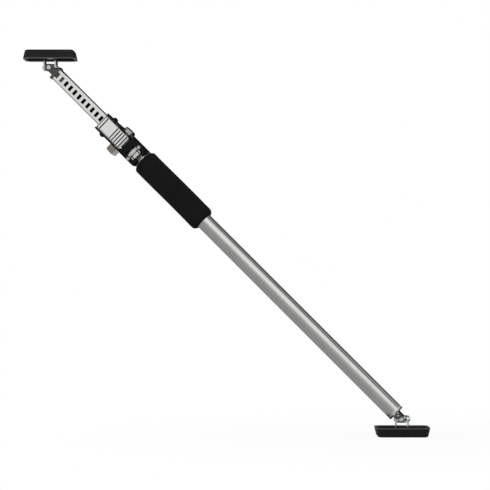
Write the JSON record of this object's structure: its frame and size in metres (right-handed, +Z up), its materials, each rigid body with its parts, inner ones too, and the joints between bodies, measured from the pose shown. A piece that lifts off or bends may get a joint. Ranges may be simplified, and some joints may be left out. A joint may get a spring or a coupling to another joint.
{
  "type": "telescopic drywall support",
  "caption": "Telescopic support strut: slotted bar pumped out of a round tube, foam grip, swivelling rubber pads at both ends.",
  "frame": {"origin": "centre of the lower pad's sole", "axes": "+Z up out of the lower pad, +X along the pad's length; the pole leans 45.6 degrees towards -X, turned 11.5 degrees about Z"},
  "size_m": [0.4839, 0.1347, 0.4598],
  "materials": {
    "zinc_steel": "bright zinc",
    "pad_rubber": "satin black",
    "tube_steel": "satin grey",
    "grip_foam": "matt foam",
    "black_plastic": "matt",
    "black_paint": "gloss black",
    "fastener_nickel": "warm nickel",
    "bright_steel": "bright zinc",
    "hard_steel": "hardened steel",
    "cast_dark": "dark cast"
  },
  "bodies": {
    "lower_pad": {"lower_pad_shoe": "pad_rubber", "lower_pad_plate": "zinc_steel", "lower_pad_rivet": "zinc_steel"},
    "lower_swivel": {"lower_bracket": "zinc_steel", "lower_tilt_rivet": "zinc_steel"},
    "lower_cross": {"lower_cross_block": "zinc_steel", "lower_fork_pins": "zinc_steel"},
    "tube": {"lower_fork": "zinc_steel", "main_tube": "tube_steel", "foam_grip": "grip_foam", "guide_bush": "black_plastic", "pump_housing": "black_paint", "housing_rivets": "fastener_nickel", "window_cover": "black_paint", "cover_rivets": "fastener_nickel", "lever_bolt": "fastener_nickel", "lever_nut": "fastener_nickel", "stop_pin": "black_paint", "release_pin": "hard_steel", "release_spring": "hard_steel"},
    "lever": {"pump_lever": "bright_steel", "pump_pawl_pin": "hard_steel", "pump_pawl_spring": "hard_steel"},
    "pump_pawl": {"pump_pawl": "hard_steel"},
    "release_pawl": {"release_pawl": "bright_steel"},
    "bar": {"slotted_bar": "bright_steel", "bar_foot": "black_plastic", "upper_fork": "cast_dark"},
    "upper_cross": {"upper_cross_block": "zinc_steel", "upper_fork_pins": "zinc_steel"},
    "upper_swivel": {"upper_bracket": "zinc_steel", "upper_tilt_rivet": "zinc_steel"},
    "upper_pad": {"upper_pad_shoe": "pad_rubber", "upper_pad_plate": "zinc_steel", "upper_pad_rivet": "zinc_steel"}
  },
  "joints": [
    {"name": "lower_pad_turn", "type": "hinge", "parent": "lower_pad", "child": "lower_swivel", "pos_m": [0, 0, 0.007], "axis": [0, 0, 1], "continuous": true},
    {"name": "lower_side_tilt", "type": "hinge", "parent": "lower_swivel", "child": "lower_cross", "pos_m": [0, 0, 0.02], "axis": [0.9799, -0.1994, 0], "range_deg": [-30, 30]},
    {"name": "lower_lean", "type": "hinge", "parent": "lower_cross", "child": "tube", "pos_m": [0, 0, 0.02], "axis": [0.1994, 0.9799, 0], "range_deg": [0, 91.2]},
    {"name": "bar_slide", "type": "slide", "parent": "tube", "child": "bar", "axis": [-0.7001, 0.1424, 0.6997], "range_m": [-0.0684, 0.2584]},
    {"name": "upper_lean", "type": "hinge", "parent": "bar", "child": "upper_cross", "pos_m": [-0.42008, 0.08547, 0.4398], "axis": [0.1994, 0.9799, 0], "range_deg": [-91.2, 0]},
    {"name": "upper_side_tilt", "type": "hinge", "parent": "upper_cross", "child": "upper_swivel", "pos_m": [-0.42008, 0.08547, 0.4398], "axis": [0.9799, -0.1994, 0], "range_deg": [-30, 30]},
    {"name": "upper_pad_turn", "type": "hinge", "parent": "upper_swivel", "child": "upper_pad", "pos_m": [-0.42008, 0.08547, 0.4518], "axis": [0, 0, 1], "continuous": true},
    {"name": "lever_swing", "type": "hinge", "parent": "tube", "child": "lever", "pos_m": [-0.33198, 0.05836, 0.34996], "axis": [0.6856, -0.1395, 0.7145], "range_deg": [0, 50]},
    {"name": "pump_pawl_swing", "type": "hinge", "parent": "lever", "child": "pump_pawl", "pos_m": [-0.33824, 0.05983, 0.35626], "axis": [-0.6856, 0.1395, -0.7145], "range_deg": [0, 10], "stiffness_Nm_per_rad": 0.01},
    {"name": "release_pawl_swing", "type": "hinge", "parent": "tube", "child": "release_pawl", "pos_m": [-0.31837, 0.05498, 0.33625], "axis": [-0.6856, 0.1395, -0.7145], "range_deg": [0, 9], "stiffness_Nm_per_rad": 0.02}
  ]
}
